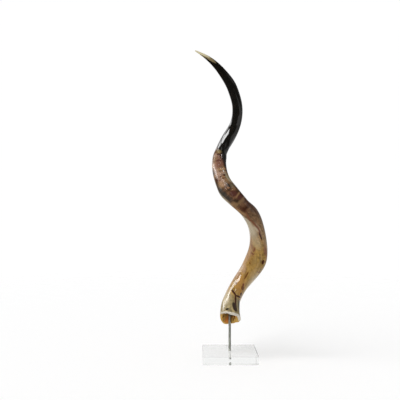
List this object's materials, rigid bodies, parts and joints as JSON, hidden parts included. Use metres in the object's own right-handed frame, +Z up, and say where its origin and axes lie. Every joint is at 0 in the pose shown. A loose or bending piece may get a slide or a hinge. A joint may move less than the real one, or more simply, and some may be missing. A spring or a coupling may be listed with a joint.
{
  "type": "kudu horn on stand",
  "caption": "Tall spiral horn with a hollow base, polished, held upright on a slim steel rod in a square clear acrylic block.",
  "frame": {"origin": "centre of the acrylic block's underside, under the rod's axis", "axes": "+Z up along the rod; -Y is the front, the side that the horn's open mouth faces; the tip reaches towards -X"},
  "size_m": [0.2434, 0.18, 1.009],
  "materials": {
    "clear_acrylic": "flame-polished clear cast acrylic",
    "satin_steel": "satin drawn rod",
    "polished_horn": "horn sanded, polished and clear-lacquered to a high gloss, black above and honey brown below, with a cream tip"
  },
  "bodies": {
    "root": {"acrylic_block": "clear_acrylic", "steel_rod": "satin_steel", "kudu_horn": "polished_horn"}
  },
  "joints": []
}
